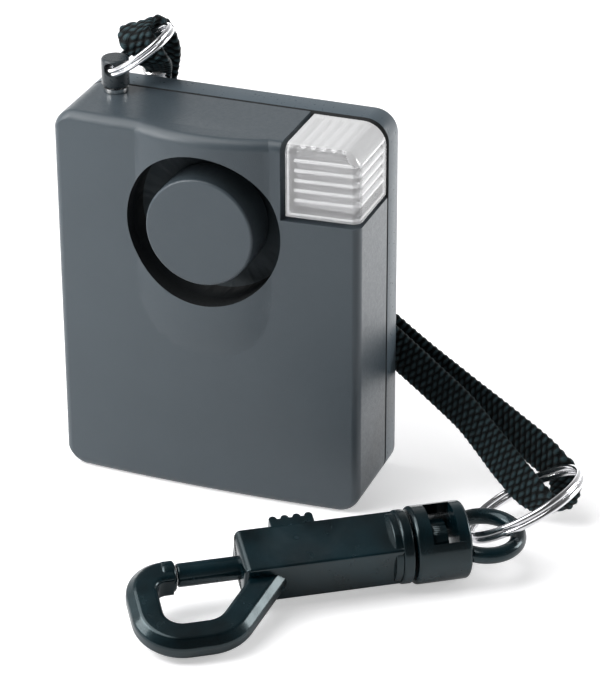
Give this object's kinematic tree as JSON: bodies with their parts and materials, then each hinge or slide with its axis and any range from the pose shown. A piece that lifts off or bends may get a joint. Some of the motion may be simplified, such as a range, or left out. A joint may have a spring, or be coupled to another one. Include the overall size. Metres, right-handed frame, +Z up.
{
  "type": "personal safety alarm",
  "caption": "Hand-held safety alarm: boxy case with a round siren horn and a corner strobe lens, a pull pin on top, and a woven strap ending in a swivel snap hook.",
  "frame": {"origin": "on the floor under the middle of the case, strap and hook left out", "axes": "+Z up, the horn and lens face -Y, the lens is on the +X side"},
  "size_m": [0.1026, 0.0873, 0.0878],
  "materials": {
    "case_grey": "satin, fine matt texture",
    "horn_black": "matt",
    "lens_clear": "clear, ribbed inside",
    "reflector_white": "bright",
    "lamp_clear": "clear",
    "steel": "plated",
    "chrome": "bright",
    "brass": "plain",
    "ceramic": "fired",
    "board_green": "lacquered",
    "copper_wire": "enamelled",
    "ferrite": "plain",
    "capacitor_blue": "sleeved",
    "battery_dark": "plain",
    "lead_red": "insulated wire",
    "lead_black": "insulated wire",
    "strap_black": "coarse braid",
    "hook_black": "gloss",
    "pin_black": "satin"
  },
  "bodies": {
    "case": {"front_shell": "case_grey", "rear_shell": "case_grey", "case_screws": "steel", "horn_cup": "horn_black", "horn_plug": "case_grey", "siren_plate": "brass", "siren_ceramic": "ceramic", "siren_cap": "horn_black", "strobe_lens": "lens_clear", "strobe_reflector": "reflector_white", "strobe_lamp": "lamp_clear", "lamp_legs": "steel", "circuit_board": "board_green", "siren_coil": "copper_wire", "coil_core": "ferrite", "capacitor": "capacitor_blue", "driver_chip": "horn_black", "battery": "battery_dark", "battery_terminals": "steel", "battery_snap": "horn_black", "lead_red": "lead_red", "lead_black": "lead_black", "pin_socket": "chrome", "switch_base": "horn_black", "switch_leaves": "brass", "strap_tail": "strap_black", "hook_ring": "chrome", "swivel_barrel": "hook_black"},
    "pull_pin": {"pin_head": "pin_black", "pin_shank": "steel", "pin_ring": "chrome", "strap_loop": "strap_black", "strap_clamp": "chrome"},
    "snap_hook": {"hook_body": "hook_black", "swivel_stem": "hook_black", "latch_spring": "steel"},
    "latch": {"latch_bolt": "hook_black", "thumb_slide": "hook_black"}
  },
  "joints": [
    {"name": "pin_pull", "type": "slide", "parent": "case", "child": "pull_pin", "axis": [0, 0, 1], "range_m": [0, 0.014]},
    {"name": "hook_swivel", "type": "hinge", "parent": "case", "child": "snap_hook", "pos_m": [0.05097, -0.02387, 0.0072], "axis": [-0.8271, -0.5621, 0], "continuous": true},
    {"name": "latch_slide", "type": "slide", "parent": "snap_hook", "child": "latch", "axis": [0.8271, 0.5621, 0], "range_m": [0, 0.009], "stiffness_N_per_m": 300, "springref_m": -0.002, "deforming": ["latch_spring"]}
  ]
}
